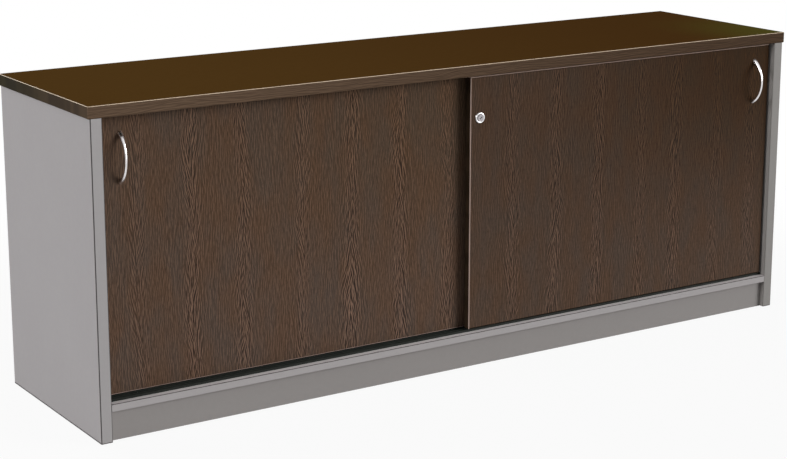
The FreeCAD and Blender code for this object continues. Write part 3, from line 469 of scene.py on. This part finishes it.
def door_laminate(door, ground, painted_shade_corner, start):
    """Laminate for one door, from its main colour and the painted shade at its upper right corner.
    """
    material, tree, place = start_finish(f"{door}_laminate")
    wood = use_group(tree, wood_figure, {"Position": place, "Start": start})
    base = blend_colours(tree, wood["Tone"], tinted(ground, *WARM), tinted(ground, *COOL))
    for dash, strongest in ((PALE_DASH, 1.0), (DARK_DASH, 0.0)):
        cover = stretch(tree, wood["Grain"], 0.5, strongest)
        cover = maths(tree, "MULTIPLY", cover, wood["Strength"])
        cover = maths(tree, "MULTIPLY", cover, DASH_COVER)
        base = blend_colours(tree, cover, base, tinted(ground, *dash))
    cover = maths(tree, "MULTIPLY", wood["Pores"], PORE_COVER)
    base = blend_colours(tree, cover, base, tinted(ground, *PORE))

    # Painted shade: the door darkens towards its upper right corner, away from the light.
    low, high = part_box(f"{door}_board")
    x, _, z = parts_of(tree, place)
    drift = maths(tree, "MULTIPLY", stretch(tree, z, low.z, high.z),
                  stretch(tree, x, low.x, high.x, SHADE_AT_LEFT, 1.0))
    corner_shade = tuple(deep / main for deep, main in zip(painted_shade_corner, ground))
    base = add(tree, "ShaderNodeMix", {
        0: 1.0, 6: base, 7: blend_colours(tree, drift, WHITE, corner_shade),
    }, data_type="RGBA", blend_type="MULTIPLY").outputs[2]

    roughness = handled(tree, place, roughness=0.44, change=0.06)
    roughness = maths(tree, "MULTIPLY_ADD", wood["Grain"], DASH_ROUGHNESS, roughness)
    height = maths(tree, "MULTIPLY", wood["Grain"], wood["Strength"])
    end_finish(tree, base, roughness, height, depth=0.04, Specular_IOR_Level=0.04)
    return material


# Each door's second colour is the painted shade at its upper right corner.
front_door_laminate = door_laminate(
    "front_door", colour(76, 60, 49), painted_shade_corner=colour(49, 31, 12), start=0.0)
rear_door_laminate = door_laminate(
    "rear_door", colour(84, 67, 56), painted_shade_corner=colour(76, 58, 43), start=4.37)
print("door laminates:", front_door_laminate.name, rear_door_laminate.name)

# %% [markdown]
# ## Dark top
# The top is a plain dark brown sheet with a grain so fine and even that it hardly shows, which
# runs along the cabinet. Its brown deepens slowly from left to right, which is painted shade of
# light falling off towards the right end, and turns a little olive at the right front corner.
# Its edging is printed with a coarser grain that runs the same way.

# %% Finish: dark top
# Where the corner's colour begins and is full, as shares of the way to the right end, and how
# far back it reaches, as a share of the way to the rear edge. All are counted from the middle.
CORNER_BEGINS, CORNER_IS_FULL, CORNER_REACHES = 0.7, 1.02, 0.7
GRAIN_COVER, GRAIN_SHADE = 0.16, (0.4, 0.4, 0.4)


def top_laminate(name, left, right, corner):
    """Plain laminate, with painted shade that deepens along its length, and tinted towards its
    right front corner.
    """
    material, tree, place = start_finish(name)
    low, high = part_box("top_board")
    x, y, _ = parts_of(tree, place)
    ground = blend_colours(tree, stretch(tree, x, low.x, high.x), left, right)
    near_corner = maths(
        tree, "MULTIPLY", stretch(tree, x, high.x * CORNER_BEGINS, high.x * CORNER_IS_FULL),
        stretch(tree, y, low.y, high.y * CORNER_REACHES, 1.0, 0.0))
    ground = blend_colours(tree, near_corner, ground, corner)
    wood = use_group(tree, wood_figure, {
        "Position": along_grain(tree, place, "top"), "Lines Per Metre": 220.0})
    faint = stretch(tree, wood["Grain"], 0.0, 1.0, GRAIN_COVER, 0.0)
    base = blend_colours(tree, faint, ground, tinted(left, *GRAIN_SHADE))
    roughness = handled(tree, place, roughness=0.6, change=0.06, patches=5.0)
    end_finish(tree, base, roughness, wood["Grain"], depth=0.02, Specular_IOR_Level=0.0)
    return material


# The darker right colour is painted shade of light falling off towards the right end.
dark_top = top_laminate("dark_top_laminate", left=colour(78, 55, 25), right=colour(68, 45, 20),
                        corner=colour(74, 70, 28))
print("top finish:", dark_top.name)

# %% [markdown]
# ## Wood-grain edging
# Every strip of edging is a thin plastic profile with a printed skin. One recipe makes all
# that have a grain: the wood figure, squeezed to the strip, a brown that may change slowly from
# one end to the other, and a line on chosen corners. On the doors that line is a pale scraped
# arris. On the top's front and left edging it is a pale scraped arris that is partly a painted
# highlight too, and on its rear and right edging it is a dark line of painted shade.

# %% Finish: wood-grain edging
DARK_LINE, PALE_LINE = (0.78, 0.77, 0.76), (1.25, 1.25, 1.25)


def grained_edging(node, near, far, arris, grain, faces, width):
    """Edging for one node, with a colour for each end. The arris width is in millimetres."""
    material, tree, place = start_finish(f"{node}_finish")
    wood = use_group(tree, wood_figure, {
        "Position": along_grain(tree, place, grain), "Lines Per Metre": 420.0,
        "Dashes Per Metre": 25.0, "Lean": 0.05})
    near_end, far_end = (
        blend_colours(tree, wood["Grain"], tinted(ground, *DARK_LINE), tinted(ground, *PALE_LINE))
        for ground in (near, far))
    axis = "XYZ".index(grain)
    low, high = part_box(node)
    along = stretch(tree, parts_of(tree, place)[axis], low[axis], high[axis])
    base = blend_colours(tree, along, near_end, far_end)
    base = blend_colours(tree, corner_line(tree, place, node, faces, width), base, arris)
    roughness = handled(tree, place, roughness=0.42, change=0.08)
    end_finish(tree, base, roughness, wood["Grain"], depth=0.03, Specular_IOR_Level=0.02)
    return material


# Front and rear edging deepen to the right brown as painted shade; the side edging darkens
# backwards.
LEFT_BROWN, SHADED_RIGHT_BROWN = colour(88, 71, 57), colour(68, 52, 39)
SIDE_FRONT_BROWN, SIDE_REAR_BROWN = colour(62, 49, 36), colour(36, 30, 12)
# The front door's edging is darker than the rear door's: painted shade on its left edge face.
SHADED_FRONT_DOOR_BROWN, REAR_DOOR_BROWN = colour(48, 37, 27), colour(68, 52, 43)
GRAINED_EDGING = (
    # node, colours at its low and its high end, arris, grain, outer faces, arris width
    ("top_front_edging", LEFT_BROWN, SHADED_RIGHT_BROWN, SCRAPED_AND_HIGHLIT_ARRIS, "X", "front top", 1.1),
    ("top_rear_edging", LEFT_BROWN, SHADED_RIGHT_BROWN, PAINTED_SHADE_ARRIS, "X", "back top", 1.1),
    ("top_left_edging", SIDE_FRONT_BROWN, SIDE_REAR_BROWN, SCRAPED_AND_HIGHLIT_ARRIS, "Y", "left top", 1.1),
    ("top_right_edging", SIDE_FRONT_BROWN, SIDE_REAR_BROWN, PAINTED_SHADE_ARRIS, "Y", "right top", 1.1),
    ("front_door_edging", SHADED_FRONT_DOOR_BROWN, SHADED_FRONT_DOOR_BROWN, DOOR_ARRIS, "Z",
     "left front top", 2.0),
    ("rear_door_edging", REAR_DOOR_BROWN, REAR_DOOR_BROWN, DOOR_ARRIS, "Z",
     "front bottom", 1.8),
)
grained_finishes = {node: grained_edging(node, *rest) for node, *rest in GRAINED_EDGING}
print("edging finishes:", [*grained_finishes])

# %% [markdown]
# ## Grey melamine
# The carcass boards are faced with light grey melamine: chipboard with a printed paper pressed
# on by a finely pitted plate. Up close it has a faint pearl and soft pits, and from a step away
# it is an even grey. Edging in nearly the same grey covers the sawn fronts, and a fine dark
# seam shows on the outer corners where boards and edging meet. Along the bottoms of the end
# panels and their edging the same dark line is painted shadow where they meet the floor, and
# on the inner corner of the left edging it is partly painted shade beside the rear door.

# %% Finish: grey melamine
DIM, BRIGHT = (0.99, 0.99, 0.99), (1.01, 1.01, 1.01)
# Darkens the seams; along the bottom corners this is painted contact shadow, not a joint.
SEAM_AND_CONTACT_SHADOW = (0.2, 0.19, 0.19)


def melamine(name, ground, roughness=0.5, seam=None):
    """Grey board or edging. A seam is a node, its outer faces and a width in millimetres."""
    material, tree, place = start_finish(name)
    grains = use_group(tree, fine_texture, {"Position": place, "Grains Per Metre": 1100.0})
    base = blend_colours(tree, grains["Mottle"], tinted(ground, *DIM), tinted(ground, *BRIGHT))
    if seam:
        line = corner_line(tree, place, *seam)
        base = blend_colours(tree, line, base, tinted(ground, *SEAM_AND_CONTACT_SHADOW))
    roughness = handled(tree, place, roughness, change=-0.07, patches=6.0)
    end_finish(tree, base, roughness, grains["Height"], depth=0.015, Specular_IOR_Level=0.15)
    return material


grey_melamine = melamine("grey_melamine", GREY_LAMINATE)
lit_base_melamine = melamine("lit_base_melamine", LIT_BASE_LAMINATE)
kick_melamine = melamine("kick_melamine", KICK_LAMINATE)
back_melamine = melamine("back_melamine", BACK_LAMINATE, roughness=0.6)
grey_edging = melamine("grey_edging", GREY_EDGING, roughness=0.42)
SEAMED = (
    # node, colour, outer faces, seam width
    # Bottom seams are painted contact shadow on the floor; the left edging's inner one is partly
    # shade.
    ("left_end_panel", GREY_LAMINATE, "left bottom", 3.2),
    ("right_end_panel", RIGHT_LAMINATE, "right bottom", 3.2),
    ("left_end_edging", GREY_EDGING, "left right front bottom", 2.0),
    ("right_end_edging", SHADED_RIGHT_EDGING, "right front bottom", 1.7),
    ("base_edging", BASE_EDGING, "front top", 1.5),
)
seamed_finishes = {
    node: melamine(f"{node}_finish", ground, roughness=0.42, seam=(node, faces, width))
    for node, ground, faces, width in SEAMED
}
print("melamine finishes:", grey_melamine.name, kick_melamine.name, *seamed_finishes)

# %% [markdown]
# ## Plastics, rubber and beech
# Tracks, guides, rollers and buffers are moulded or extruded. They differ in colour, in how
# coarse their skin is and in how sharply they reflect. The dowels are turned beech.

# %% Finish: plastics, rubber and beech
# How much paler the mottle is, as a factor and as an amount added, and how strongly it shows.
PALER, LIFTED, MOTTLE_COVER = 1.15, 0.004, 0.6


def moulded(name, ground, roughness, grains=1400.0, depth=0.04):
    """Plastic or rubber with a skin of fine grains, a little paler in its mottle."""
    material, tree, place = start_finish(name)
    skin = use_group(tree, fine_texture, {"Position": place, "Grains Per Metre": grains})
    pale = tuple(part * PALER + LIFTED for part in ground[:3]) + (1.0,)
    base = blend_colours(tree, maths(tree, "MULTIPLY", skin["Mottle"], MOTTLE_COVER), ground, pale)
    roughness = handled(tree, place, roughness, change=0.12, patches=25.0)
    end_finish(tree, base, roughness, skin["Height"], depth, Specular_IOR_Level=0.2)
    return material


def turned_beech(name):
    material, tree, place = start_finish(name)
    wood = use_group(tree, wood_figure, {"Position": place, "Lines Per Metre": 900.0})
    base = blend_colours(tree, wood["Grain"], colour(208, 174, 126), colour(176, 138, 92))
    end_finish(tree, base, roughness=0.6, height=wood["Grain"], depth=0.05)
    return material


track_plastic = moulded("track_plastic", colour(20, 24, 19), roughness=0.6)
black_plastic = moulded("black_plastic", colour(28, 28, 29), roughness=0.45)
wheel_plastic = moulded("wheel_plastic", colour(62, 61, 58), roughness=0.35)
buffer_rubber = moulded("buffer_rubber", colour(118, 115, 113), roughness=0.75,
                        grains=700.0, depth=0.1)
beech = turned_beech("beech")
print("plastics:", track_plastic.name, black_plastic.name, wheel_plastic.name)

# %% [markdown]
# ## Metals
# The handles and the lock are polished and plated. What makes plated metal look real is what
# it mirrors, and a faint unevenness in how sharply it does so. Plated steel and cast zinc are
# duller, with a coarser grain.

# %% Finish: metals
DULL = (0.88, 0.88, 0.88)


def plated(name, tint, roughness, change, grains=500.0, depth=0.01):
    """Metal whose roughness rises by a change in its handled patches."""
    material, tree, place = start_finish(name)
    skin = use_group(tree, fine_texture, {"Position": place, "Grains Per Metre": grains})
    base = blend_colours(tree, skin["Mottle"], tinted(tint, *DULL), tint)
    roughness = handled(tree, place, roughness, change, patches=60.0)
    end_finish(tree, base, roughness, skin["Height"], depth, Metallic=1.0)
    return material


handle_chrome = plated("handle_chrome", colour(244, 240, 240), roughness=0.2, change=0.1,
                       depth=0.002)
lock_chrome = plated("lock_chrome", colour(240, 238, 238), roughness=0.26, change=0.1,
                     depth=0.002)
lock_nickel = plated("lock_nickel", colour(160, 156, 158), roughness=0.3, change=0.12)
plated_steel = plated("plated_steel", colour(178, 178, 180), roughness=0.32, change=0.15,
                      grains=900.0, depth=0.02)
cast_zinc = plated("cast_zinc", colour(150, 151, 154), roughness=0.45, change=0.15,
                   grains=1200.0, depth=0.05)
print("metals:", handle_chrome.name, lock_chrome.name, plated_steel.name, cast_zinc.name)

# %% [markdown]
# ## Give each modelled piece its finish
# Most pieces keep the finish of their kind. The record names a material slot for each piece, so
# one table from slot to finish covers them, and the few exceptions follow by name.

# %% Finish by slot, then by name
FINISH_OF_SLOT = {
    "dark_laminate": dark_top,
    "grey_laminate": grey_melamine,
    "grey_edging": grey_edging,
    "back_board": back_melamine,
    "track_plastic": track_plastic,
    "black_plastic": black_plastic,
    "wheel_plastic": wheel_plastic,
    "rubber": buffer_rubber,
    "plated_steel": plated_steel,
    "cast_zinc": cast_zinc,
    "beech": beech,
    "chrome": lock_chrome,
    "lock_steel": lock_nickel,
}
FINISH_OF_NODE = {
    "front_door_board": front_door_laminate,
    "rear_door_board": rear_door_laminate,
    "base_board": lit_base_melamine,
    "kick_plate": kick_melamine,
    "lock_barrel": lock_nickel,
    "front_door_handle": handle_chrome,
    "rear_door_handle": handle_chrome,
    **grained_finishes,
    **seamed_finishes,
}
for entry in frame["record"]["subparts"]:
    name = entry["node"]
    finish = FINISH_OF_NODE.get(name) or FINISH_OF_SLOT[entry["material_slot"]]
    mesh = nodes[name].data
    mesh.materials.clear()
    mesh.materials.append(finish)
print("finished nodes:", len(nodes))

# %% [markdown]
# ## Bow handles
# Each handle is one cast and plated bow: broad and flat where it stands on the door, and
# narrow and domed where the fingers go round it. The modelled handle has the right curves but
# a boxy section. Here the section is a rounded oblong that slides along the two curves, so the
# reflections flow from end to end. Sections joined one to the next are called a loft.

# %% Loft helper


def loft(name, rings, finish, sharp_angle, closed=False):
    """A smooth skin through rings of points, capped at its ends or closed on itself."""
    skin = bmesh.new()
    loops = [[skin.verts.new(point) for point in ring] for ring in rings]
    followers = loops[1:] + loops[:1] if closed else loops[1:]
    for loop, next_loop in zip(loops, followers):
        for place, corner in enumerate(loop):
            skin.faces.new((corner, next_loop[place], next_loop[place - 1], loop[place - 1]))
    if not closed:
        skin.faces.new(loops[0])
        skin.faces.new(reversed(loops[-1]))
    bmesh.ops.recalc_face_normals(skin, faces=skin.faces)
    mesh = bpy.data.meshes.new(name)
    skin.to_mesh(mesh)
    skin.free()
    mesh.shade_smooth()
    mesh.set_sharp_from_angle(angle=math.radians(sharp_angle))
    mesh.materials.append(finish)
    piece = bpy.data.objects.new(name, mesh)
    bpy.context.scene.collection.objects.link(piece)
    return piece


print("loft helper is ready")

# %% Bow handles
FOOT, STRAP = 12 * MM, 4 * MM
HALF_FOOT_WIDTH, HALF_WAIST = 5.6 * MM, 2.4 * MM
# How late the bow widens towards its feet, and how round its section is across and through.
SWELL_POWER, ROUND_ACROSS, ROUND_THROUGH = 3, 0.8, 0.9
SECTIONS, CORNERS = 48, 28


def on_bow(half, rise, share):
    """Height and stand-off of a circular bow, at a share from its lower end to its upper."""
    radius = (half ** 2 + rise ** 2) / (2 * rise)
    turn = math.asin(half / radius) * (2 * share - 1)
    return radius * math.sin(turn), radius * math.cos(turn) - radius + rise


def squared(number, power):
    """A sine or cosine pushed towards a square, with its sign kept."""
    return math.copysign(abs(number) ** power, number)


def bow_section(half, rise, share):
    """One ring of the bow, as steps to the right, off the door and up from its middle."""
    outer_z, outer_out = on_bow(half, rise, share)
    inner_z, inner_out = on_bow(half - FOOT, rise - STRAP, share)
    swell = abs(outer_z / half) ** SWELL_POWER
    half_width = HALF_WAIST + (HALF_FOOT_WIDTH - HALF_WAIST) * swell
    for corner in range(CORNERS):
        turn = 2 * math.pi * corner / CORNERS
        across = squared(math.cos(turn), ROUND_ACROSS) * half_width
        through = (1 + squared(math.sin(turn), ROUND_THROUGH)) / 2
        yield (across, inner_out + (outer_out - inner_out) * through,
               inner_z + (outer_z - inner_z) * through)


def bow_handle(door):
    """The bow of one door, in place of the modelled one."""
    node = f"{door}_handle"
    low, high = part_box(node)
    middle = (low + high) / 2
    half, rise = (high.z - low.z) / 2, high.y - low.y
    rings = [
        [(middle.x + across, high.y - out, middle.z + up)
         for across, out, up in bow_section(half, rise, section / SECTIONS)]
        for section in range(SECTIONS + 1)
    ]
    piece = loft(f"{door}_bow_handle", rings, handle_chrome, sharp_angle=40)
    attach(piece, door)
    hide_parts(node)
    print(piece.name, "stands", round(rise / MM, 1), "mm off the door")


for door in ("front_door", "rear_door"):
    bow_handle(door)

# %% [markdown]
# ## Lock ring
# The ring round the push lock is turned from brass and plated. Its face is a soft dome that
# falls away to a thin rim, which is what draws a bright circle round the barrel. It is a loft
# too: the same small profile, carried round the lock's middle.

# %% Lock ring
RING_BORE = 8.4 * MM
# The profile from the rim in to the bore, as shares of the ring's breadth and of its height.
RING_PROFILE = ((1.0, 0.0), (0.97, 0.3), (0.85, 0.62), (0.65, 0.88), (0.42, 1.0), (0.2, 1.0),
                (0.06, 0.9), (0.0, 0.72), (0.0, 0.0))
RING_STEPS = 72


def lock_ring():
    """The domed ring, in place of the modelled one and with its bore, outside and height."""
    low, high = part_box("lock_rosette")
    middle = (low + high) / 2
    outside, height = (high.x - low.x) / 2, high.y - low.y
    profile = [(RING_BORE + (outside - RING_BORE) * breadth, height * rise)
               for breadth, rise in RING_PROFILE]
    rings = []
    for step in range(RING_STEPS):
        turn = 2 * math.pi * step / RING_STEPS
        rings.append([
            (middle.x + radius * math.cos(turn), high.y - out, middle.z + radius * math.sin(turn))
            for radius, out in profile])
    piece = loft("lock_ring", rings, lock_chrome, sharp_angle=50, closed=True)
    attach(piece, "front_door")
    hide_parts("lock_rosette")
    print("lock ring is", round(2 * outside / MM, 1), "mm across")


lock_ring()

# %% [markdown]
# ## Studio
# The cabinet stands on a pale floor in even white surroundings, which are brighter overhead. A
# broad far lamp on the left lights the end panel, and another on the right front lights the
# doors at a slant, so that the front door throws a soft shadow on the rear one. A weaker one
# fills in the back. The camera sees plain white surroundings and a nearly white floor, while
# the light that they give the cabinet is set lower, so that its own colours stay true.

# %% World
HORIZON_LIGHT, OVERHEAD_LIGHT = 0.02, 0.42
MIRRORED_WHITE = 0.75


def white_share(tree, direct_share):
    """How white a ray finds the studio: seen directly or through glass, or in a mirror."""
    rays = add(tree, "ShaderNodeLightPath", {}).outputs
    direct = maths(tree, "MAXIMUM", rays["Is Camera Ray"], rays["Is Transmission Ray"])
    direct = maths(tree, "MULTIPLY", direct, direct_share)
    return maths(tree, "MULTIPLY_ADD", rays["Is Glossy Ray"], MIRRORED_WHITE, direct)


def make_world():
    """Surroundings that light the cabinet softly and look plain white."""
    world = bpy.data.worlds.new("studio")
    bpy.context.scene.world = world
    world.use_nodes = True
    tree = world.node_tree
    tree.nodes.clear()
    direction = add(tree, "ShaderNodeTexCoord", {}).outputs["Generated"]
    _, _, up = parts_of(tree, direction)
    level = stretch(tree, up, 0.0, 1.0, HORIZON_LIGHT, OVERHEAD_LIGHT)
    light = add(tree, "ShaderNodeBackground", {"Color": WHITE, "Strength": level})
    white = add(tree, "ShaderNodeBackground", {"Color": WHITE, "Strength": 1.0})
    either = add(tree, "ShaderNodeMixShader", {
        0: white_share(tree, 1.0), 1: light.outputs["Background"],
        2: white.outputs["Background"]})
    add(tree, "ShaderNodeOutputWorld", {"Surface": either.outputs["Shader"]})


make_world()
print("world:", bpy.context.scene.world.name)

# %% Floor
FLOOR_REACH = 60.0
FLOOR_GREY = (0.5, 0.5, 0.5, 1.0)
# The floor is nearly white by the cabinet and fades to white between these two distances.
FADE_BEGINS, FADE_ENDS = 1.0, 2.0
NEARLY_WHITE = 0.93


def make_floor():
    """A wide pale floor that keeps the cabinet's shadow and fades to plain white."""
    floor = bpy.data.objects.new("floor", bpy.data.meshes.new("floor"))
    ways = ((-1, -1), (1, -1), (1, 1), (-1, 1))
    corners = [(x * FLOOR_REACH, y * FLOOR_REACH, 0) for x, y in ways]
    floor.data.from_pydata(corners, [], [(0, 1, 2, 3)])
    material = bpy.data.materials.new("floor")
    material.use_nodes = True
    tree = material.node_tree
    tree.nodes.clear()
    paint = add(tree, "ShaderNodeBsdfDiffuse", {"Color": FLOOR_GREY})
    white = add(tree, "ShaderNodeEmission", {"Color": WHITE, "Strength": 1.0})
    place = add(tree, "ShaderNodeTexCoord", {}).outputs["Object"]
    away = add(tree, "ShaderNodeVectorMath", {0: place}, operation="LENGTH").outputs["Value"]
    seen_white = stretch(tree, away, FADE_BEGINS, FADE_ENDS, NEARLY_WHITE, 1.0)
    either = add(tree, "ShaderNodeMixShader", {
        0: white_share(tree, seen_white), 1: paint.outputs["BSDF"],
        2: white.outputs["Emission"]})
    add(tree, "ShaderNodeOutputMaterial", {"Surface": either.outputs["Shader"]})
    floor.data.materials.append(material)
    bpy.context.scene.collection.objects.link(floor)


make_floor()
print("floor is in place")

# %% Lamps
MIDDLE = (0.0, 0.0, cad_box[1][2] / 2)
LAMPS = (
    # name, place, strength, spread in degrees
    ("left_slant", (-4.0, -0.1, 1.9), 1.9, 25),
    ("right_slant", (3.34, -3.01, 1.42), 3.1, 34),
    ("rear_fill", (-0.6, 4.0, 1.9), 1.5, 30),
)


def far_lamp(name, spot, strength, spread):
    """A lamp so far away that its light is even, turned towards the cabinet's middle."""
    light = bpy.data.lights.new(name, "SUN")
    light.energy = strength
    light.angle = math.radians(spread)
    lamp = bpy.data.objects.new(name, light)
    lamp.location = spot
    ahead = Vector(MIDDLE) - Vector(spot)
    lamp.rotation_euler = ahead.to_track_quat("-Z", "Y").to_euler()
    bpy.context.scene.collection.objects.link(lamp)


for lamp_row in LAMPS:
    far_lamp(*lamp_row)
print("lamps:", [light.name for light in bpy.data.lights])

# %% [markdown]
# ## Camera
# The view is from above on the left, with a long lens, which keeps the long front from looking
# stretched. A small lens shift straightens the uprights a little.

# %% Camera
CAMERA_PLACE = (-2.3419, -3.5163, 1.3411)
# Turned to the right of straight ahead, and down from level, in radians.
YAW, PITCH = 0.5734, 0.2275
LENS_LENGTH, FILM_WIDTH = 87.37, 36.0
LENS_SHIFT = -0.05
FARTHEST_SEEN = 200.0


def make_camera():
    lens = bpy.data.cameras.new("camera")
    lens.sensor_width = FILM_WIDTH
    lens.lens = LENS_LENGTH
    lens.shift_y = LENS_SHIFT
    lens.clip_end = FARTHEST_SEEN
    camera = bpy.data.objects.new("camera", lens)
    camera.location = CAMERA_PLACE
    ahead = Vector((math.sin(YAW) * math.cos(PITCH), math.cos(YAW) * math.cos(PITCH),
                    -math.sin(PITCH)))
    camera.rotation_euler = ahead.to_track_quat("-Z", "Y").to_euler()
    bpy.context.scene.collection.objects.link(camera)
    bpy.context.scene.camera = camera


make_camera()
bpy.context.scene.view_settings.view_transform = "Standard"
print("camera lens:", bpy.context.scene.camera.data.lens)
